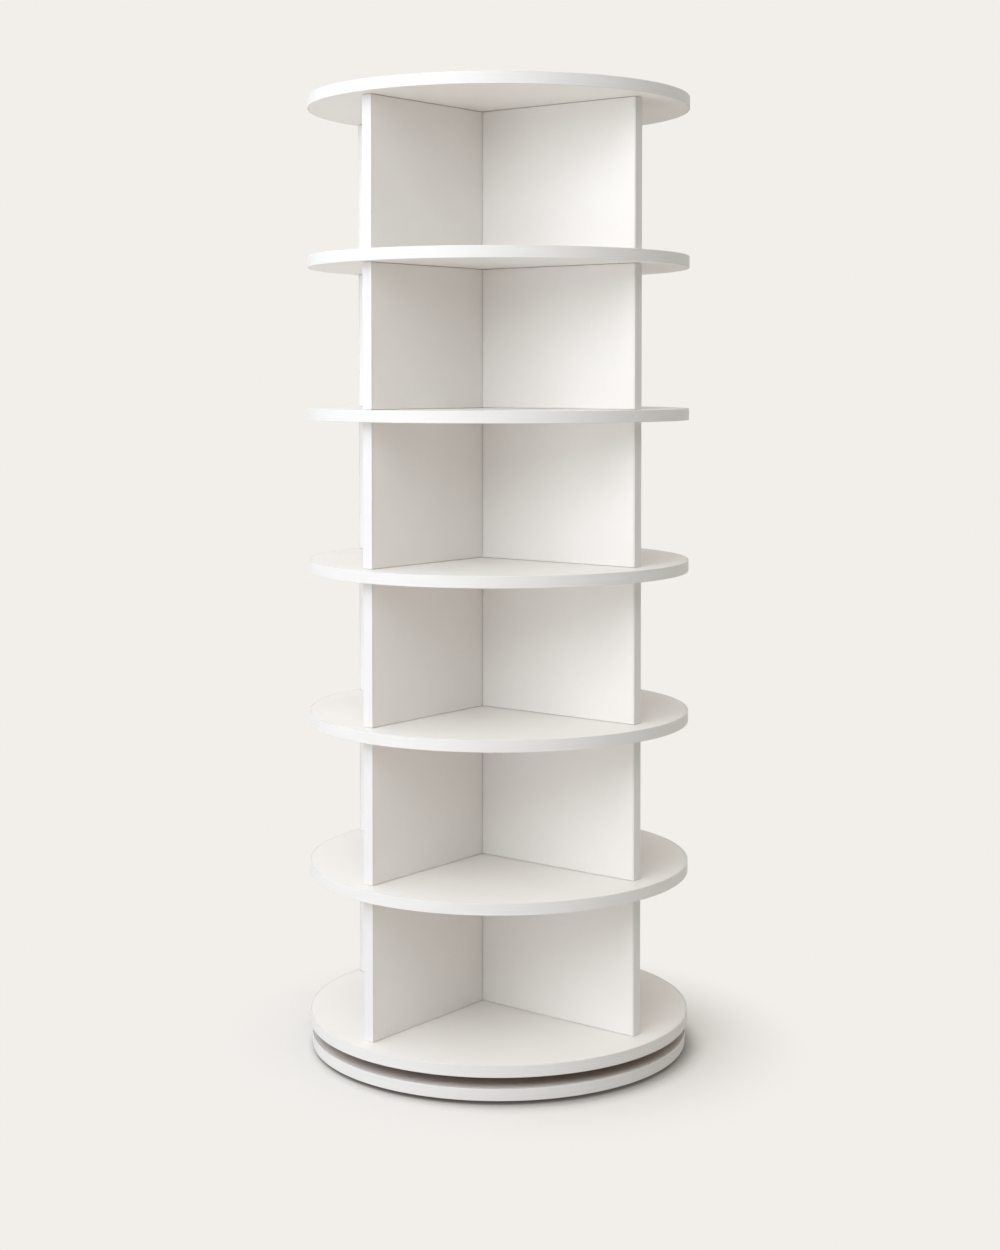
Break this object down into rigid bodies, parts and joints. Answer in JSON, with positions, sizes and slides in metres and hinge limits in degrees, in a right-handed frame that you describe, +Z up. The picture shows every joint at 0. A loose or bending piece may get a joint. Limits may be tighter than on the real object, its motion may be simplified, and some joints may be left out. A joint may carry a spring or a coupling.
{
  "type": "rotating shoe tower",
  "caption": "Tall round revolving shoe tower: stacked round shelves on crossed dividers, with open bays all round, on a roller turntable and a round base.",
  "frame": {"origin": "on the floor under the turning axis, at the centre of the underside of the base's pads", "axes": "+Z up along the turning axis, -Y towards the front bay, +X to the right of it"},
  "size_m": [0.4999, 0.5, 1.246],
  "materials": {
    "white_melamine": "satin warm-white melamine foil on particle board, with white edge band",
    "glide_rubber": "matte black foam rubber",
    "zinc_steel": "zinc-plated pressed steel",
    "plated_fasteners": "zinc-plated, slightly yellow",
    "cast_zinc": "die-cast zinc",
    "cage_plastic": "natural moulded nylon",
    "roller_nylon": "smooth white nylon",
    "beech": "raw beech"
  },
  "bodies": {
    "base": {"base_board": "white_melamine", "base_glides": "glide_rubber", "lower_track": "zinc_steel", "lower_track_screws": "plated_fasteners"},
    "roller_ring": {"roller_cage": "cage_plastic", "rollers": "roller_nylon"},
    "tower": {"bottom_shelf": "white_melamine", "shelf_2": "white_melamine", "shelf_3": "white_melamine", "shelf_4": "white_melamine", "shelf_5": "white_melamine", "shelf_6": "white_melamine", "top_panel": "white_melamine", "long_divider_1": "white_melamine", "front_divider_1": "white_melamine", "rear_divider_1": "white_melamine", "long_divider_2": "white_melamine", "front_divider_2": "white_melamine", "rear_divider_2": "white_melamine", "long_divider_3": "white_melamine", "front_divider_3": "white_melamine", "rear_divider_3": "white_melamine", "long_divider_4": "white_melamine", "front_divider_4": "white_melamine", "rear_divider_4": "white_melamine", "long_divider_5": "white_melamine", "front_divider_5": "white_melamine", "rear_divider_5": "white_melamine", "long_divider_6": "white_melamine", "front_divider_6": "white_melamine", "rear_divider_6": "white_melamine", "upper_track": "zinc_steel", "upper_track_screws": "plated_fasteners", "shelf_screws": "plated_fasteners", "connecting_bolts": "plated_fasteners", "cams": "cast_zinc", "divider_dowels": "beech"}
  },
  "joints": [
    {"name": "tower_spin", "type": "hinge", "parent": "base", "child": "tower", "pos_m": [0, 0, 0.0275], "axis": [0, 0, 1], "continuous": true},
    {"name": "roller_ring_spin", "type": "hinge", "parent": "base", "child": "roller_ring", "pos_m": [0, 0, 0.02725], "axis": [0, 0, 1], "continuous": true}
  ],
  "couplings": [
    {"joint": "roller_ring_spin", "follows": "tower_spin", "ratio": 0.5}
  ]
}
